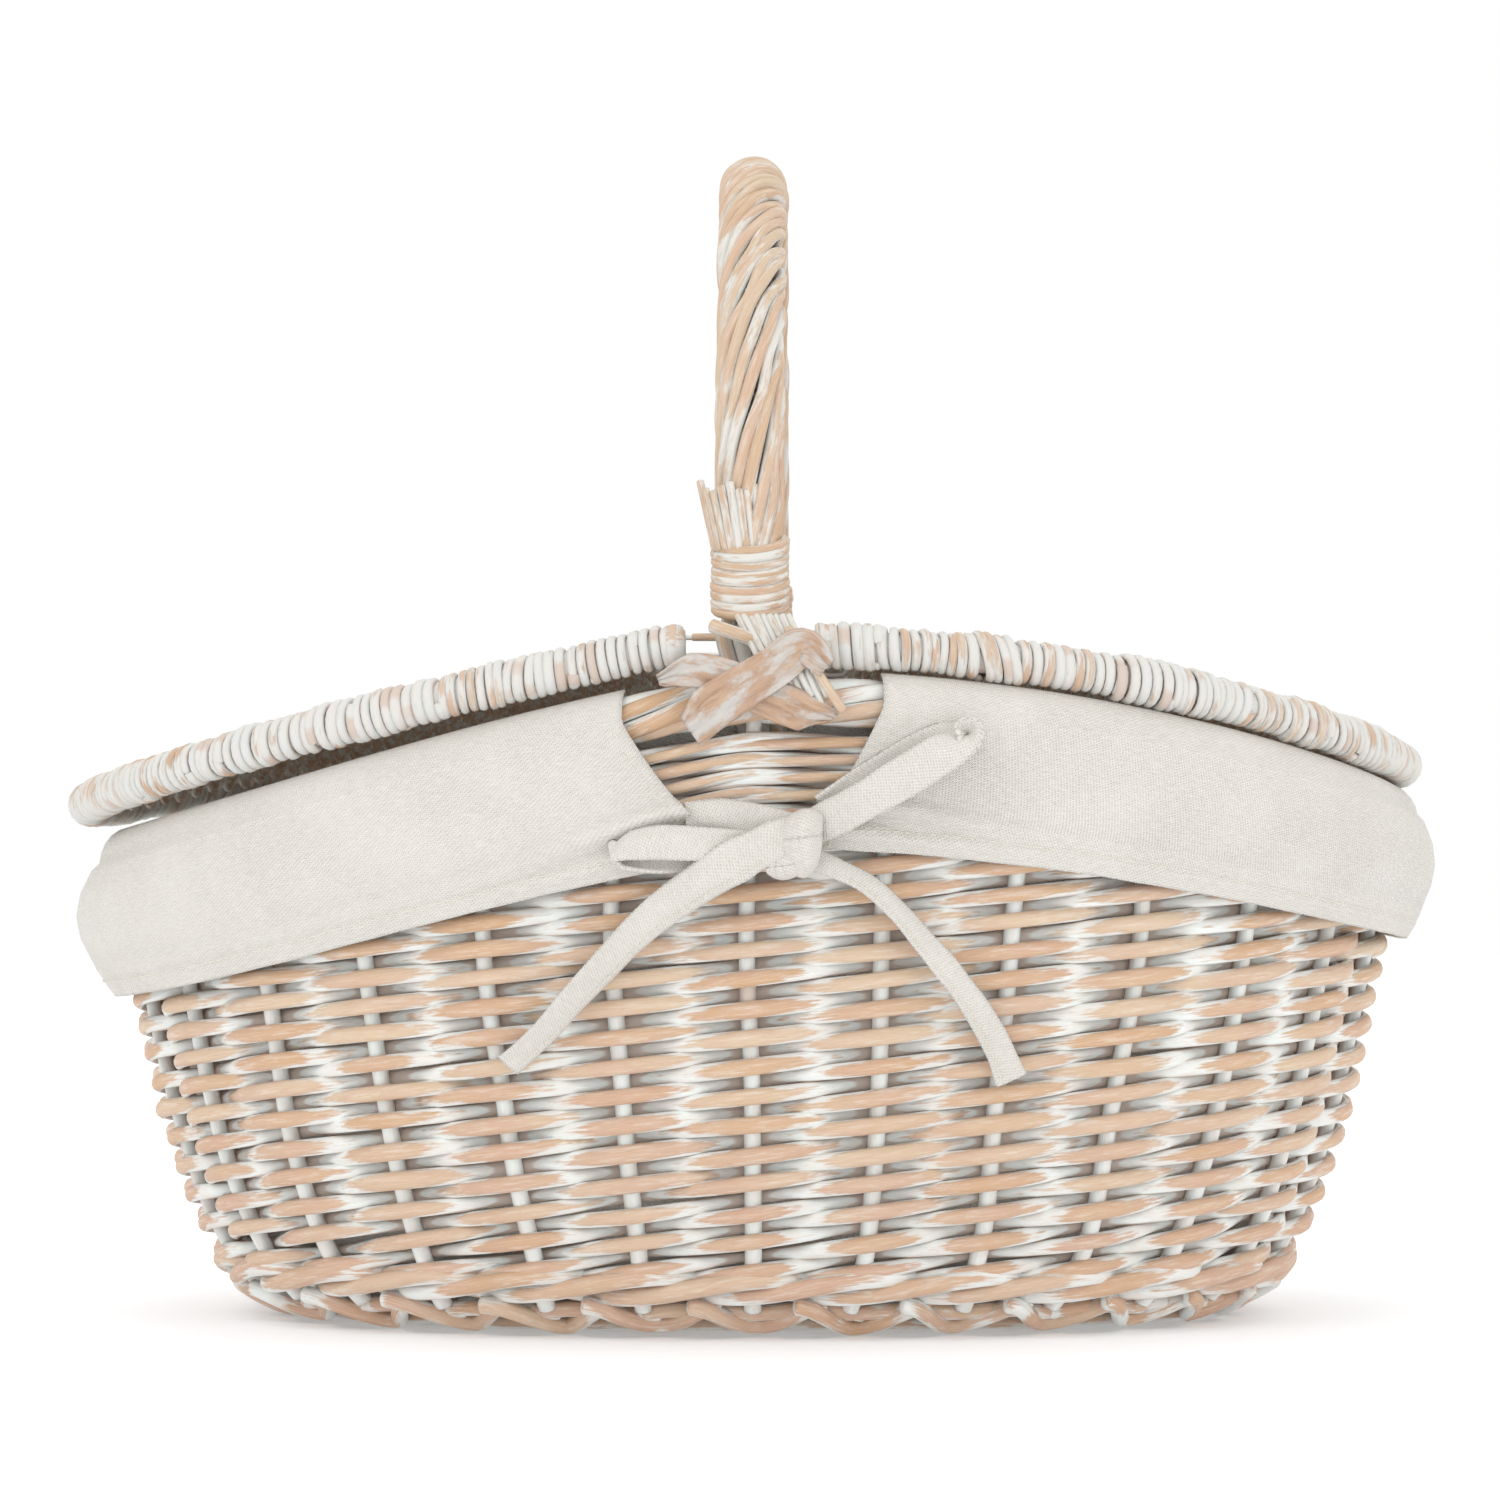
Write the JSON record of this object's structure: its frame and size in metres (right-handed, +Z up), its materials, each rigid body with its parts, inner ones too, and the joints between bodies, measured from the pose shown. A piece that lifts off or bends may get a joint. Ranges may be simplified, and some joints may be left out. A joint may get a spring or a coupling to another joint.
{
  "type": "bread basket",
  "caption": "Oval white-washed willow basket with an overhead handle, two hinged lids and a tied cotton liner.",
  "frame": {"origin": "on the table under the middle of the basket", "axes": "+X along the oval towards the right lid, +Y from the bow's side to the rear, +Z up"},
  "size_m": [0.4696, 0.3528, 0.3962],
  "materials": {
    "willow": "matt, white-washed",
    "stakes": "matt, white-washed",
    "bark": "matt",
    "cotton": "canvas"
  },
  "bodies": {
    "basket": {"base_weave": "willow", "foot_ring": "willow", "upsett_wale": "willow", "side_weave": "willow", "top_wale": "willow", "border": "willow", "handle_core": "willow", "handle_rope": "willow", "handle_wrap_front": "willow", "handle_wrap_rear": "willow", "handle_foot_front": "willow", "handle_foot_rear": "willow", "hinge_bar": "willow", "hinge_loop_left_1": "willow", "hinge_loop_left_2": "willow", "hinge_loop_right_1": "willow", "hinge_loop_right_2": "willow", "stake_01": "stakes", "stake_02": "stakes", "stake_03": "stakes", "stake_04": "stakes", "stake_05": "stakes", "stake_06": "stakes", "stake_07": "stakes", "stake_08": "stakes", "stake_09": "stakes", "stake_10": "stakes", "stake_11": "stakes", "stake_12": "stakes", "stake_13": "stakes", "stake_14": "stakes", "stake_15": "stakes", "stake_16": "stakes", "stake_17": "stakes", "stake_18": "stakes", "stake_19": "stakes", "stake_20": "stakes", "stake_21": "stakes", "stake_22": "stakes", "stake_23": "stakes", "stake_24": "stakes", "stake_25": "stakes", "stake_26": "stakes", "stake_27": "stakes", "stake_28": "stakes", "bark_strip_front_under": "bark", "bark_strip_front_over": "bark", "bark_strip_rear_under": "bark", "bark_strip_rear_over": "bark", "liner_bag": "cotton", "liner_cuff_left": "cotton", "liner_cuff_right": "cotton", "bow_front": "cotton", "bow_rear": "cotton"},
    "lid_left": {"lid_left_hoop": "willow", "lid_left_hinge_rod": "willow", "lid_left_panel": "willow"},
    "lid_right": {"lid_right_hoop": "willow", "lid_right_hinge_rod": "willow", "lid_right_panel": "willow"}
  },
  "joints": [
    {"name": "lid_left_hinge", "type": "hinge", "parent": "basket", "child": "lid_left", "pos_m": [-0.026, 0, 0.2235], "axis": [0, 1, 0], "range_deg": [0, 105]},
    {"name": "lid_right_hinge", "type": "hinge", "parent": "basket", "child": "lid_right", "pos_m": [0.026, 0, 0.2235], "axis": [0, -1, 0], "range_deg": [0, 100]}
  ]
}
